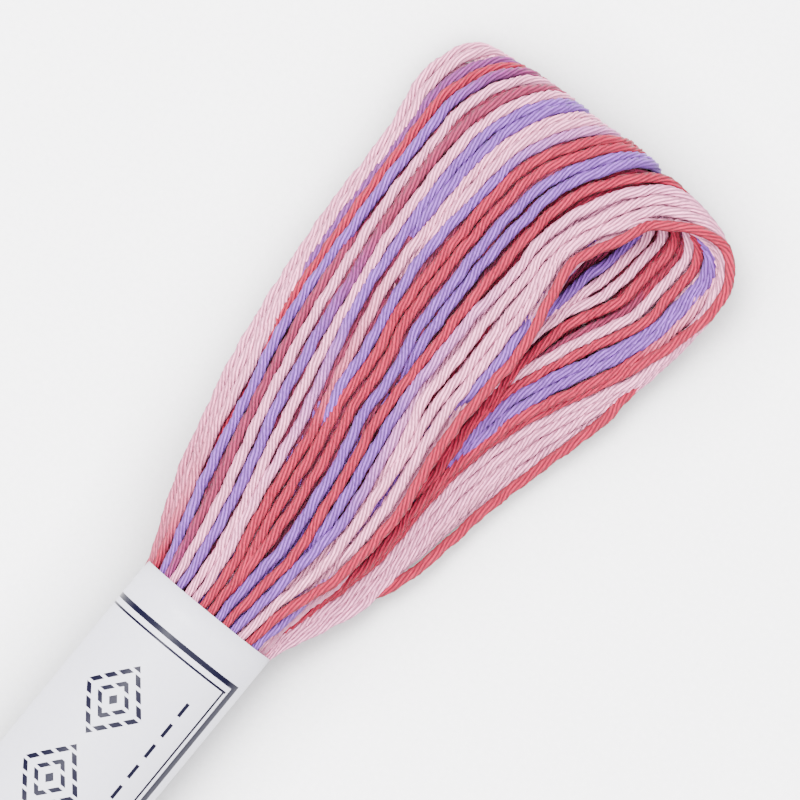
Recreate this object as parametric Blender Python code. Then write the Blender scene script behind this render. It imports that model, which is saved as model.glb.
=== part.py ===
"""A skein of embroidery floss: one hank of twisted cotton thread, drawn together by a paper band.

The skein lies along Y on the surface Z = 0. The hank is one endless ring of thread. Its top run and
its under run pass through the band one above the other and fan out past both mouths, where the loops
turn over. At the +Y end the right-hand loops lie open and leave a round eye. X points to the right
for someone who looks down on the skein with +Y away from them.
"""

import math
from bisect import bisect_right
from collections import namedtuple

import bmesh
import bpy
from mathutils import Vector

METRES_PER_MM = 0.001  # every size below is in millimetres, and the meshes are in metres

# The paper band: an oval tube with a flat spot underneath.
BAND_LENGTH = 60.0
BAND_WIDTH = 12.6
BAND_HEIGHT = 9.5
BAND_WALL = 1.0
BAND_SINK = 0.3  # how far the oval would reach below the surface without its flat spot
BAND_SIDES = 48

# The hank.
CLEARANCE = 0.3  # between the hank and the band, and between the two runs inside the band
RIDGES = 13  # groups of thread raised on each face of a run
RIDGE_DEPTH = 0.4
LEG_STEP = 4.0  # distance between two sections along a leg
LEG_START = 4.0  # from here out the sections keep that distance
TURN_STEPS = 12  # sections around each turn
BAND_STEPS = 3  # sections inside the band

# One section of a fan: its distance from the mouth, the left and right edges of the top run and of
# the under run, the height of the top face and the run's thickness, the height of the under face and
# the run's thickness, and how far the right edge of the under run rides up.
# shape is 2 for an oval section and more for a squarer one, and flat is 1 where the runs lie face to face.
Section = namedtuple(
    "Section",
    "out top_left top_right low_left low_right top top_thick floor low_thick lift shape flat",
)

HELD_HALF = BAND_WIDTH / 2.0 - BAND_WALL - CLEARANCE
HELD_FLOOR = BAND_WALL + CLEARANCE
HELD_TOP = BAND_HEIGHT - BAND_WALL - CLEARANCE
HELD_THICK = (HELD_TOP - HELD_FLOOR - CLEARANCE) / 2.0
HELD = Section(
    out=0.0,
    top_left=-HELD_HALF,
    top_right=HELD_HALF,
    low_left=-HELD_HALF,
    low_right=HELD_HALF,
    top=HELD_TOP,
    top_thick=HELD_THICK,
    floor=HELD_FLOOR,
    low_thick=HELD_THICK,
    lift=0.0,
    shape=2.0,
    flat=1.0,
)

OPEN_FAN = (
    HELD,
    HELD._replace(out=0.4),
    Section(1.7, -6.1, 6.0, -6.0, 6.2, 9.0, 4.0, 0.6, 3.8, 0.0, 2.0, 1.0),
    Section(4.0, -7.9, 6.0, -6.4, 7.5, 9.1, 3.9, 0.2, 3.9, 0.0, 2.3, 0.8),
    Section(8.0, -9.4, 7.1, -6.9, 9.6, 9.0, 3.5, 0.0, 3.6, 0.0, 2.8, 0.5),
    Section(16.0, -11.3, 7.4, -7.6, 11.4, 8.7, 3.0, 0.0, 3.0, 0.0, 4.0, 0.1),
    Section(24.0, -12.5, 6.7, -8.2, 13.0, 8.4, 2.8, 0.0, 2.8, 0.3, 4.0, 0.0),
    Section(32.0, -13.3, 6.4, -8.8, 14.9, 8.1, 2.7, 0.0, 2.6, 1.0, 4.0, 0.0),
    Section(40.0, -13.8, 5.6, -9.2, 16.0, 7.8, 2.6, 0.0, 2.5, 2.0, 4.0, 0.0),
    Section(45.0, -13.9, 6.7, -9.0, 16.3, 7.7, 2.6, 0.0, 2.5, 2.4, 4.0, 0.0),
)

PLAIN_FAN = (
    HELD,
    HELD._replace(out=0.4),
    Section(1.7, -6.1, 6.0, -6.0, 6.1, 9.0, 4.0, 0.6, 3.8, 0.0, 2.0, 1.0),
    Section(4.0, -7.2, 6.9, -6.8, 7.4, 9.1, 3.9, 0.2, 3.9, 0.0, 2.3, 0.8),
    Section(8.0, -8.3, 7.9, -7.5, 8.8, 9.0, 3.5, 0.0, 3.6, 0.0, 2.8, 0.5),
    Section(16.0, -9.9, 9.0, -8.7, 10.7, 8.7, 3.0, 0.0, 3.0, 0.0, 4.0, 0.1),
    Section(24.0, -11.0, 9.8, -9.5, 12.0, 8.3, 2.8, 0.0, 2.8, 0.0, 4.0, 0.0),
    Section(32.0, -11.8, 10.3, -10.1, 12.9, 8.0, 2.7, 0.0, 2.6, 0.0, 4.0, 0.0),
    Section(44.0, -12.5, 10.8, -10.6, 13.8, 7.6, 2.6, 0.0, 2.5, 0.0, 4.0, 0.0),
)

# One loop of a fan: its place across the run from 0 at the left to 1 at the right, where its two legs
# end, and how far its turn reaches past them.
Loop = namedtuple("Loop", "across leg_end reach")

OPEN_LOOPS = (Loop(0.0, 44.6, 3.0), Loop(0.5, 44.8, 4.2), Loop(1.0, 43.6, 5.0))
PLAIN_LOOPS = (Loop(0.0, 41.6, 3.0), Loop(0.5, 43.2, 3.2), Loop(1.0, 41.8, 3.0))


def table_at(rows, where):
    """The table's row at a value of its first column, smooth between rows and never past them."""
    places = [row[0] for row in rows]
    where = min(max(where, places[0]), places[-1])
    at = min(bisect_right(places, where), len(rows) - 1)
    left, right = rows[at - 1], rows[at]
    span = right[0] - left[0]
    part = (where - left[0]) / span

    def rise(index, column):
        return (rows[index + 1][column] - rows[index][column]) / (places[index + 1] - places[index])

    def slope(index, column):
        if index == 0:
            return rise(0, column)
        if index == len(rows) - 1:
            return rise(index - 1, column)
        rise_before, rise_after = rise(index - 1, column), rise(index, column)
        if rise_before * rise_after <= 0.0:
            return 0.0
        return 2.0 * rise_before * rise_after / (rise_before + rise_after)

    values = [where]
    for column in range(1, len(left)):
        start, end = slope(at - 1, column) * span, slope(at, column) * span
        values.append(
            (2 * part**3 - 3 * part**2 + 1) * left[column]
            + (part**3 - 2 * part**2 + part) * start
            + (3 * part**2 - 2 * part**3) * right[column]
            + (part**3 - part**2) * end
        )
    return type(left)(*values)


def fullness(section, across):
    """How full a run is at a place across it: 1 in its middle and 0 at its edges."""
    return math.sqrt(max(0.0, 1.0 - abs(2.0 * across - 1.0) ** section.shape))


def leg_centre(fan, run, across, out):
    """Middle of a run's thickness, as X, the distance from the mouth and Z."""
    section = table_at(fan, out)
    full = section.flat * fullness(section, across) + 1.0 - section.flat
    if run == "top":
        x = section.top_left + (section.top_right - section.top_left) * across
        return Vector((x, out, section.top - section.top_thick * (1.0 - full / 2.0)))
    x = section.low_left + (section.low_right - section.low_left) * across
    z = section.floor + section.low_thick * (1.0 - full / 2.0) + section.lift * across**3
    return Vector((x, out, z))


def leg_half(fan, run, across, out):
    """Half of a run's thickness at a place across it."""
    section = table_at(fan, out)
    thick = section.top_thick if run == "top" else section.low_thick
    return fullness(section, across) * thick / 2.0


def turn_centre(fan, loops, across, part):
    """Point on a loop's turn: part runs from 0 at the top leg's end to 1 at the under leg's end."""
    loop = table_at(loops, across)
    ends = []
    for run in ("top", "low"):
        end = leg_centre(fan, run, across, loop.leg_end)
        along = (end - leg_centre(fan, run, across, loop.leg_end - 2.0)).normalized()
        ends.append((end, end + along * loop.reach * 4.0 / 3.0))
    (start, start_pull), (finish, finish_pull) = ends
    rest = 1.0 - part
    return (
        start * rest**3
        + start_pull * 3.0 * rest**2 * part
        + finish_pull * 3.0 * rest * part**2
        + finish * part**3
    )


def turn_outward(fan, loops, across, part):
    """Direction out of the ring at a point on a turn."""
    nudge = 0.02
    left, right = max(0.0, across - nudge), min(1.0, across + nudge)
    sideways = turn_centre(fan, loops, right, part) - turn_centre(fan, loops, left, part)
    before, after = max(0.0, part - nudge), min(1.0, part + nudge)
    along = turn_centre(fan, loops, across, after) - turn_centre(fan, loops, across, before)
    return sideways.cross(along).normalized()


def outline_places():
    """Places around a section: across, side (1 out of the ring, -1 into it) and ridge (crest or not)."""
    last = 2 * RIDGES
    outer = [(index / last, 1.0, index % 2 == 1) for index in range(last + 1)]
    inner = [(index / last, -1.0, index % 2 == 1) for index in range(last - 1, 0, -1)]
    return outer + inner


def raised(half, crest):
    """Half thickness at a ridge's crest, or in the hollow between two ridges."""
    return half if crest else max(half - RIDGE_DEPTH, half * 0.4)


def leg_section(fan, loops, run, part):
    """Points around a leg, part of the way from the mouth to the leg's end."""
    up = Vector((0.0, 0.0, 1.0 if run == "top" else -1.0))
    points = []
    for across, side, crest in outline_places():
        out = part * table_at(loops, across).leg_end
        half = raised(leg_half(fan, run, across, out), crest)
        points.append(leg_centre(fan, run, across, out) + up * side * half)
    return points


def turn_section(fan, loops, part):
    """Points around the ring, part of the way round its turn."""
    points = []
    for across, side, crest in outline_places():
        leg_end = table_at(loops, across).leg_end
        top_half = leg_half(fan, "top", across, leg_end)
        low_half = leg_half(fan, "low", across, leg_end)
        half = raised(top_half + (low_half - top_half) * part, crest)
        outward = turn_outward(fan, loops, across, part)
        points.append(turn_centre(fan, loops, across, part) + outward * side * half)
    return points


def fan_sections(fan, loops):
    """All sections of one fan, out along its top run, round the turn and back along its under run."""
    length = table_at(loops, 0.5).leg_end
    steps = round((length - LEG_START) / LEG_STEP)
    stops = [row.out / length for row in fan if row.out < LEG_START]
    stops += [(LEG_START + (length - LEG_START) * step / steps) / length for step in range(steps)]
    out_along_top = [leg_section(fan, loops, "top", stop) for stop in stops]
    turn = [turn_section(fan, loops, step / TURN_STEPS) for step in range(TURN_STEPS + 1)]
    back_under = [leg_section(fan, loops, "low", stop) for stop in reversed(stops)]
    return out_along_top + turn + back_under


def held_section(run, along):
    """Points around a run inside the band, at a distance along Y from the band's middle."""
    return [Vector((point.x, along, point.z)) for point in leg_section(OPEN_FAN, OPEN_LOOPS, run, 0.0)]


def ring_object(name, rings, material):
    """A closed body through rings of points, where the last ring joins the first again."""
    mesh = bpy.data.meshes.new(name)
    shape = bmesh.new()
    grid = [[shape.verts.new(point * METRES_PER_MM) for point in ring] for ring in rings]
    sides = len(rings[0])
    for here, there in zip(grid, grid[1:] + grid[:1]):
        for side in range(sides):
            after = (side + 1) % sides
            shape.faces.new((here[side], here[after], there[after], there[side]))
    bmesh.ops.recalc_face_normals(shape, faces=shape.faces)
    shape.to_mesh(mesh)
    shape.free()
    mesh.materials.append(material)
    placed = bpy.data.objects.new(name, mesh)
    bpy.context.collection.objects.link(placed)
    return placed


def plain_material(name, colour, roughness):
    """A plain material that is not metallic."""
    material = bpy.data.materials.new(name)
    material.use_nodes = True
    shader = material.node_tree.nodes["Principled BSDF"]
    shader.inputs["Base Color"].default_value = (*colour, 1.0)
    shader.inputs["Roughness"].default_value = roughness
    shader.inputs["Metallic"].default_value = 0.0
    return material


def build_hank():
    """The wound thread: both fans, joined through the band into one ring."""
    half_band = BAND_LENGTH / 2.0
    open_end = [
        [Vector((point.x, half_band + point.y, point.z)) for point in ring]
        for ring in fan_sections(OPEN_FAN, OPEN_LOOPS)
    ]
    plain_end = [
        [Vector((point.x, -half_band - point.y, point.z)) for point in ring]
        for ring in reversed(fan_sections(PLAIN_FAN, PLAIN_LOOPS))
    ]
    steps = [half_band - BAND_LENGTH * step / (BAND_STEPS + 1) for step in range(1, BAND_STEPS + 1)]
    under = [held_section("low", along) for along in steps]
    over = [held_section("top", along) for along in reversed(steps)]
    floss = plain_material("floss", (0.66, 0.36, 0.46), 0.75)
    return ring_object("hank", open_end + under + plain_end + over, floss)


def band_ring(along, inset):
    """Points around the band's oval at a place along Y, a distance in from its outer face."""
    middle = (BAND_HEIGHT - BAND_SINK) / 2.0
    half_width = BAND_WIDTH / 2.0 - inset
    half_height = (BAND_HEIGHT + BAND_SINK) / 2.0 - inset
    ring = []
    for side in range(BAND_SIDES):
        angle = 2.0 * math.pi * side / BAND_SIDES
        z = max(middle + half_height * math.sin(angle), inset)
        ring.append(Vector((half_width * math.cos(angle), along, z)))
    return ring


def build_band():
    """The paper band: an oval tube, open at both mouths."""
    near, far = -BAND_LENGTH / 2.0, BAND_LENGTH / 2.0
    rings = [
        band_ring(near, 0.0),
        band_ring(far, 0.0),
        band_ring(far, BAND_WALL),
        band_ring(near, BAND_WALL),
    ]
    paper = plain_material("paper", (0.86, 0.86, 0.89), 0.35)
    return ring_object("paper_band", rings, paper)


def stand_at_origin(pieces):
    """Shift the meshes so that the bottom centre of their common box is the origin."""
    points = [vertex.co for piece in pieces for vertex in piece.data.vertices]
    low = Vector([min(point[axis] for point in points) for axis in range(3)])
    high = Vector([max(point[axis] for point in points) for axis in range(3)])
    shift = Vector(((low.x + high.x) / 2.0, (low.y + high.y) / 2.0, low.z))
    for piece in pieces:
        for vertex in piece.data.vertices:
            vertex.co -= shift


for old in list(bpy.data.objects):
    bpy.data.objects.remove(old, do_unlink=True)

stand_at_origin([build_hank(), build_band()])
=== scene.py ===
"""A skein of embroidery floss: wound cotton thread, dyed in long changing colours, in a paper band.

Sizes are in millimetres and are turned to metres where a mesh is made. A place in a fan of thread is
given as its distance right of the band's middle line, its distance out of the band's mouth, and its
height over the table.
"""

import math
import random

import bmesh
import bpy
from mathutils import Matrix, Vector


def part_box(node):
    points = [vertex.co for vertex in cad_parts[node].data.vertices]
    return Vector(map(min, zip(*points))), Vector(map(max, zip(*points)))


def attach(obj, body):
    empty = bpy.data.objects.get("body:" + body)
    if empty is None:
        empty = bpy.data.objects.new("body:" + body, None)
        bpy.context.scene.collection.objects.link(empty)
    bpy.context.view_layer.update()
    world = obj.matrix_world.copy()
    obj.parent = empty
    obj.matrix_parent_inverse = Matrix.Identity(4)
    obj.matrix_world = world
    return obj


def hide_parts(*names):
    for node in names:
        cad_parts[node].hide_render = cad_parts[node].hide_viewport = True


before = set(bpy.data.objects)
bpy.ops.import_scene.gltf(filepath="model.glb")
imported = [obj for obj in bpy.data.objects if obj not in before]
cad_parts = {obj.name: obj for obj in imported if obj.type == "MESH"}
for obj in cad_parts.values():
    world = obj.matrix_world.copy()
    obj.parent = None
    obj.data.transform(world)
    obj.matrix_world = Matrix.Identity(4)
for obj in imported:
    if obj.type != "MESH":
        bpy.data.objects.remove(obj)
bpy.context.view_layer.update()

# ---------------------------------------------------------------------------------------------
# The camera
# It hangs far above the open fan and looks straight down. It is turned so that the skein runs
# from the lower left of the picture to its upper right.
MM = 0.001
band_low, band_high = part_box("paper_band")
MIDDLE_LINE = (band_low.x + band_high.x) / 2.0 / MM
OPEN_MOUTH = band_high.y / MM
PLAIN_MOUTH = band_low.y / MM
CAMERA_RIGHT, CAMERA_OUT, CAMERA_HEIGHT = 1.14, 22.7, 606.0
CAMERA_TURN = 39.36
camera_data = bpy.data.cameras.new("camera")
camera_data.lens = 337.5
camera_data.sensor_width = 36.0
camera_data.clip_start = 0.01
camera_data.clip_end = 10.0
camera = bpy.data.objects.new("camera", camera_data)
bpy.context.collection.objects.link(camera)
camera.location = Vector((MIDDLE_LINE + CAMERA_RIGHT, OPEN_MOUTH + CAMERA_OUT, CAMERA_HEIGHT)) * MM
camera.rotation_euler = (0.0, 0.0, math.radians(CAMERA_TURN))
bpy.context.scene.camera = camera

# ---------------------------------------------------------------------------------------------
# The table top
# A pale sheet of smooth matt card under the skein. It fills the picture and is not part of the skein.
FLOOR_HALF = 1500.0


def linear(colour):
    """Linear red, green, blue and alpha from an sRGB hex value such as #E9E8E9."""
    parts = [int(colour[i : i + 2], 16) / 255.0 for i in (1, 3, 5)]
    return [p / 12.92 if p <= 0.04045 else ((p + 0.055) / 1.055) ** 2.4 for p in parts] + [1.0]


def new_material(name):
    """A material without any nodes yet, and its node tree."""
    material = bpy.data.materials.new(name)
    material.use_nodes = True
    material.node_tree.nodes.clear()
    return material, material.node_tree


def node(tree, kind, settings=None, **links):
    """Adds a node, sets its properties, and gives each input a value or a link. A _ in a name is a space."""
    made = tree.nodes.new(kind)
    for name, value in (settings or {}).items():
        setattr(made, name, value)
    for name, value in links.items():
        key = int(name[1:]) if name[1:].isdigit() else name.replace("_", " ")
        if isinstance(value, bpy.types.NodeSocket):
            tree.links.new(value, made.inputs[key])
        else:
            made.inputs[key].default_value = value
    return made


floor_shape = bmesh.new()
bmesh.ops.create_grid(floor_shape, x_segments=1, y_segments=1, size=FLOOR_HALF * MM)
floor_mesh = bpy.data.meshes.new("table_top")
floor_shape.to_mesh(floor_mesh)
floor_shape.free()
floor = bpy.data.objects.new("table_top", floor_mesh)
bpy.context.collection.objects.link(floor)

# Uncoated card: near white and matt. Its pulp gives it a faint mottle about 0.45 mm across, which is
# 2200 to the metre.
CARD_MOTTLE = 2200.0
card, tree = new_material("smooth_pale_card")
place = node(tree, "ShaderNodeTexCoord").outputs["Object"]
mottle = node(tree, "ShaderNodeTexNoise", Vector=place, Scale=CARD_MOTTLE, Detail=3.0)
grain = node(
    tree,
    "ShaderNodeMix",
    {"data_type": "RGBA"},
    Factor=mottle.outputs["Fac"],
    _6=linear("#FAF9FB"),
    _7=linear("#EAE9EB"),
)
relief = node(tree, "ShaderNodeBump", Strength=0.06, Distance=0.0001, Height=mottle.outputs["Fac"])
# Close under the skein a painted shade darkens the card's colour, by how much the skein hides it, beyond
# what the room's light alone makes.
nearby = node(tree, "ShaderNodeAmbientOcclusion", {"samples": 8}, Distance=0.009)
close = node(tree, "ShaderNodeMapRange", Value=nearby.outputs["AO"], From_Min=0.4, To_Min=0.42)
card_with_painted_shade = node(
    tree,
    "ShaderNodeVectorMath",
    {"operation": "SCALE"},
    _0=grain.outputs[2],
    Scale=close.outputs[0],
)
shader = node(
    tree,
    "ShaderNodeBsdfPrincipled",
    Base_Color=card_with_painted_shade.outputs[0],
    Roughness=0.9,
    Normal=relief.outputs["Normal"],
)
node(tree, "ShaderNodeOutputMaterial", Surface=shader.outputs["BSDF"])
floor_mesh.materials.append(card)

# ---------------------------------------------------------------------------------------------
# The light
# One wide soft lamp over the skein, a little to its far left, and a white room that is brightest at
# its ceiling.
WALL_LIGHT, CEILING_LIGHT = 1.5, 7.6
LAMP_RIGHT, LAMP_OUT, LAMP_HEIGHT = -190.0, 110.0, 540.0
LAMP_AIM_OUT = 20.0
room = bpy.data.worlds.new("white_room")
bpy.context.scene.world = room
room.use_nodes = True
tree = room.node_tree
tree.nodes.clear()
direction = node(tree, "ShaderNodeTexCoord").outputs["Generated"]
height = node(tree, "ShaderNodeSeparateXYZ", Vector=direction).outputs["Z"]
height = node(tree, "ShaderNodeMath", {"operation": "MAXIMUM"}, _0=height, _1=0.0).outputs[0]
height = node(tree, "ShaderNodeMath", {"operation": "POWER"}, _0=height, _1=2.0).outputs[0]
brightness = node(tree, "ShaderNodeMapRange", Value=height, To_Min=WALL_LIGHT, To_Max=CEILING_LIGHT)
walls = node(tree, "ShaderNodeBackground", Color=linear("#FFFFFF"), Strength=brightness.outputs[0])
node(tree, "ShaderNodeOutputWorld", Surface=walls.outputs["Background"])
lamp_data = bpy.data.lights.new("soft_lamp", "AREA")
lamp_data.shape = "DISK"
lamp_data.size = 0.3
lamp_data.energy = 8.5
lamp = bpy.data.objects.new("soft_lamp", lamp_data)
bpy.context.collection.objects.link(lamp)
lamp.location = Vector((MIDDLE_LINE + LAMP_RIGHT, OPEN_MOUTH + LAMP_OUT, LAMP_HEIGHT)) * MM
lamp_aim = Vector((MIDDLE_LINE, OPEN_MOUTH + LAMP_AIM_OUT, 0.0)) * MM - lamp.location
lamp.rotation_euler = lamp_aim.to_track_quat("-Z", "Y").to_euler()

# ---------------------------------------------------------------------------------------------
# The wound thread
# Mercerised cotton, seven fine plies laid left-handed, wound into a hank and dyed in it, so that each
# colour runs on for several centimetres. The paper band alone holds the turns. Each closes on itself.
THREAD = 0.93
PLIES = 7
PLY_GROOVE = 0.26
TWIST_PITCH = 6.3

# The least height of a thread's middle over the table. Before it wanders, the least is, in threads,
# TOP_LEAST for the top run where it sags, LAYER_LEAST more for a layer, and LOW_LEAST for the under run.
LOWEST = THREAD * 0.62
TOP_LEAST, LAYER_LEAST, LOW_LEAST = 0.6, 0.1, 0.55

# The band squeezes the turns: their size in it and one station out of it, how much it draws their
# places in, how far inside it their path is given, and the space between their rings in it.
IN_BAND, NEAR_BAND = 0.78, 0.97
DRAWN_IN = 0.97
BAND_REACH = 6.0
COARSE_RINGS = 5.0

# A fan's section at a distance out of the mouth: that distance, the left and right edges of the top
# run and of the under run, the top run's upper face and thickness, the under run's lower face and
# thickness, how far its right edge rides up, how square the section is, and how flat the two runs
# lie on each other.
OPEN_FAN = (
    (0.0, -5.9, 5.9, -5.9, 5.9, 9.35, 4.3, 0.15, 4.3, 0.0, 2.0, 1.0),
    (1.7, -6.6, 6.4, -6.2, 6.6, 9.3, 4.2, 0.2, 4.1, 0.0, 2.0, 1.0),
    (4.0, -7.9, 6.2, -6.6, 7.9, 9.2, 3.9, 0.1, 3.9, 0.0, 2.3, 0.8),
    (8.0, -9.5, 7.0, -6.9, 9.7, 9.0, 3.5, 0.0, 3.6, 0.0, 2.8, 0.5),
    (16.0, -11.4, 7.4, -7.6, 11.6, 8.7, 3.0, 0.0, 3.0, 0.0, 4.0, 0.1),
    (24.0, -12.6, 6.7, -8.2, 13.2, 8.4, 2.8, 0.0, 2.8, 0.3, 4.0, 0.0),
    (32.0, -13.4, 6.6, -8.8, 15.0, 8.1, 2.7, 0.0, 2.6, 1.0, 4.0, 0.0),
    (40.0, -13.8, 5.8, -9.2, 16.2, 7.8, 2.6, 0.0, 2.5, 2.0, 4.0, 0.0),
    (44.0, -14.0, 7.2, -9.0, 16.4, 7.7, 2.6, 0.0, 2.5, 2.4, 4.0, 0.0),
)
PLAIN_FAN = (
    (0.0, -5.9, 5.9, -5.9, 5.9, 9.35, 4.3, 0.15, 4.3, 0.0, 2.0, 1.0),
    (1.7, -6.4, 6.3, -6.3, 6.4, 9.3, 4.2, 0.2, 4.1, 0.0, 2.0, 1.0),
    (4.0, -7.2, 6.9, -6.8, 7.4, 9.2, 3.9, 0.1, 3.9, 0.0, 2.3, 0.8),
    (8.0, -8.3, 7.9, -7.5, 8.8, 9.0, 3.5, 0.0, 3.6, 0.0, 2.8, 0.5),
    (16.0, -9.9, 9.0, -8.7, 10.7, 8.7, 3.0, 0.0, 3.0, 0.0, 4.0, 0.1),
    (24.0, -11.0, 9.8, -9.5, 12.0, 8.3, 2.8, 0.0, 2.8, 0.0, 4.0, 0.0),
    (32.0, -11.8, 10.3, -10.1, 12.9, 8.0, 2.7, 0.0, 2.6, 0.0, 4.0, 0.0),
    (44.0, -12.5, 10.8, -10.6, 13.8, 7.6, 2.6, 0.0, 2.5, 0.0, 4.0, 0.0),
)

# The places of a turn are given every 4 mm out of the mouth. The last one lies short of the far end.
STATION = 4.0
OPEN_STATIONS = 12
PLAIN_STATIONS = 11
LAST_STATION = STATION * (OPEN_STATIONS - 1)

# A turn is held fast at the mouth, and from here on out it lies as it likes.
FREE_FROM = 8.0

# The outer turns over the open fan's top, from the left edge to the right. First each has the colour
# at the mouth as a place in the dyer's repeat, the way the colours run, the distances out where the
# turn comes into sight and leaves it again, and how high it rides over its neighbours. Then come its
# places right of the middle line at each station and one more, on its way round the far end.
OUTER_LANES = (
    (
        (147, 0.7, 0, 48, 0.0),
        (-6.25, -7.5, -8.95, -9.95, -11.0, -11.65, -12.2, -12.6, -12.9, -12.95, -13.2, -13.85, -12.7),
    ),
    (
        (147, 0.7, 0, 48, 0.0),
        (-6.05, -7.0, -8.3, -9.4, -10.35, -11.0, -11.6, -12.0, -12.35, -12.35, -12.5, -13.05, -12.1),
    ),
    (
        (143, 1.0, 0, 26, 0.05),
        (-5.7, -6.6, -7.8, -8.9, -9.6, -10.5, -11.3, -11.8, -12.0, -12.1, -12.1, -12.2, -10.9),
    ),
    (
        (476, 0.12, 25, 48, -0.1),
        (-5.5, -6.3, -7.5, -8.7, -9.4, -10.3, -11.0, -11.45, -11.75, -11.85, -12.0, -12.2, -10.8),
    ),
    (
        (20, 1.0, 21, 48, 0.0),
        (-5.3, -6.1, -7.2, -8.4, -9.2, -10.0, -10.7, -11.0, -11.3, -11.45, -11.55, -11.55, -10.0),
    ),
    (
        (433, 1.0, 0, 48, 0.1),
        (-4.9, -5.8, -6.9, -7.8, -8.6, -9.6, -10.1, -10.4, -10.6, -10.8, -10.8, -10.7, -9.4),
    ),
    (
        (484, 0.7, 0, 28, 0.0),
        (-4.4, -5.0, -5.8, -6.9, -7.8, -8.6, -9.3, -9.7, -10.1, -10.2, -10.2, -10.2, -8.8),
    ),
    (
        (200, 1.0, 0, 48, 0.0),
        (-3.8, -4.2, -5.0, -6.0, -7.0, -7.8, -8.5, -9.0, -9.5, -9.8, -9.8, -9.7, -8.3),
    ),
    (
        (454, 1.0, 0, 48, 0.0),
        (-3.0, -3.4, -4.1, -5.0, -6.1, -6.8, -7.5, -8.0, -8.6, -8.9, -9.0, -8.6, -7.3),
    ),
    (
        (190, 1.0, 0, 48, 0.0),
        (-2.2, -2.4, -3.1, -4.1, -5.0, -5.8, -6.6, -7.2, -7.8, -8.0, -8.1, -7.7, -6.2),
    ),
    (
        (320, 1.0, 0, 48, 0.0),
        (-1.4, -1.7, -2.5, -3.2, -3.8, -4.8, -5.8, -6.6, -6.9, -7.3, -7.3, -6.9, -5.3),
    ),
    (
        (380, 1.0, 36, 48, 0.0),
        (-1.0, -1.3, -2.0, -2.7, -3.2, -4.2, -5.1, -6.0, -6.4, -6.6, -6.5, -6.0, -4.6),
    ),
    (
        (127, 1.0, 0, 48, 0.0),
        (-0.6, -0.8, -1.6, -2.2, -2.6, -3.6, -4.5, -5.4, -5.8, -5.8, -5.8, -5.2, -3.6),
    ),
    (
        (190, 1.0, 34, 48, 0.0),
        (-0.2, -0.4, -1.1, -1.7, -2.2, -3.0, -4.0, -4.9, -5.3, -5.2, -5.0, -4.5, -2.8),
    ),
    (
        (388, -1.0, 18, 48, 0.0),
        (-0.1, 0.0, -0.5, -1.0, -1.8, -3.1, -3.5, -4.2, -4.7, -4.6, -4.2, -3.7, -1.6),
    ),
    (
        (20, 1.0, 0, 48, 0.0),
        (0.2, 0.1, -0.7, -1.2, -1.7, -2.5, -2.6, -3.4, -3.5, -3.5, -3.4, -2.7, -0.4),
    ),
    (
        (30, 1.0, 3, 48, 0.0),
        (0.4, 0.3, 0.2, -0.1, -0.6, -1.4, -1.6, -2.5, -2.6, -2.6, -2.4, -1.7, 0.8),
    ),
    (
        (400, 1.0, 0, 48, 0.0),
        (1.0, 1.1, 1.4, 1.0, 0.5, -0.4, -0.6, -1.4, -1.5, -1.6, -1.4, -0.6, 1.8),
    ),
    (
        (420, -1.0, 27, 48, 0.0),
        (1.4, 1.6, 1.9, 1.5, 1.0, 0.2, 0.0, -0.4, -0.6, -0.6, -0.3, 0.4, 2.9),
    ),
    (
        (40, 1.0, 0, 48, 0.0),
        (1.8, 2.1, 2.5, 2.0, 1.5, 0.8, 0.6, 0.6, 0.5, 0.6, 0.8, 1.6, 4.2),
    ),
    (
        (367, -1.0, 11, 48, 0.0),
        (2.2, 2.5, 3.0, 2.9, 2.4, 1.8, 1.4, 1.4, 1.4, 1.8, 1.8, 3.0, 5.6),
    ),
    (
        (358, -1.0, 0, 22, 0.0),
        (2.6, 3.0, 3.4, 3.8, 3.4, 2.7, 2.1, 1.9, 2.0, 2.2, 2.3, 3.6, 6.2),
    ),
    (
        (190, 1.0, 19, 48, 0.0),
        (3.2, 3.5, 4.2, 4.3, 4.0, 3.6, 2.6, 2.6, 2.5, 2.7, 2.8, 4.3, 6.8),
    ),
    (
        (195, 1.0, 0, 48, 0.0),
        (3.5, 3.9, 4.8, 4.8, 4.5, 4.2, 3.6, 3.7, 3.6, 3.6, 3.6, 5.2, 8.0),
    ),
    (
        (200, 1.0, 11, 48, 0.0),
        (4.0, 4.5, 5.4, 5.8, 5.7, 5.1, 4.6, 4.5, 4.4, 4.2, 3.9, 5.5, 8.6),
    ),
    (
        (4, 1.0, 0, 48, 0.6),
        (4.2, 4.8, 6.2, 6.7, 6.8, 6.2, 5.9, 6.0, 6.1, 5.4, 4.9, 6.8, 7.4),
    ),
    (
        (352, -1.5, 0, 5, 0.0),
        (4.8, 5.3, 5.6, 5.6, 5.6, 5.0, 4.9, 5.0, 5.0, 4.7, 4.4, 4.8, 5.6),
    ),
    (
        (370, 1.0, 27, 33, -0.1),
        (4.2, 4.5, 4.7, 4.9, 4.9, 4.6, 4.7, 5.3, 5.3, 5.1, 5.0, 5.2, 5.9),
    ),
)

# Where a turn is out of sight it dips under its neighbours by this, over this length.
HIDDEN_DIP = 1.05
DIP_LENGTH = 3.0

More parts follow.
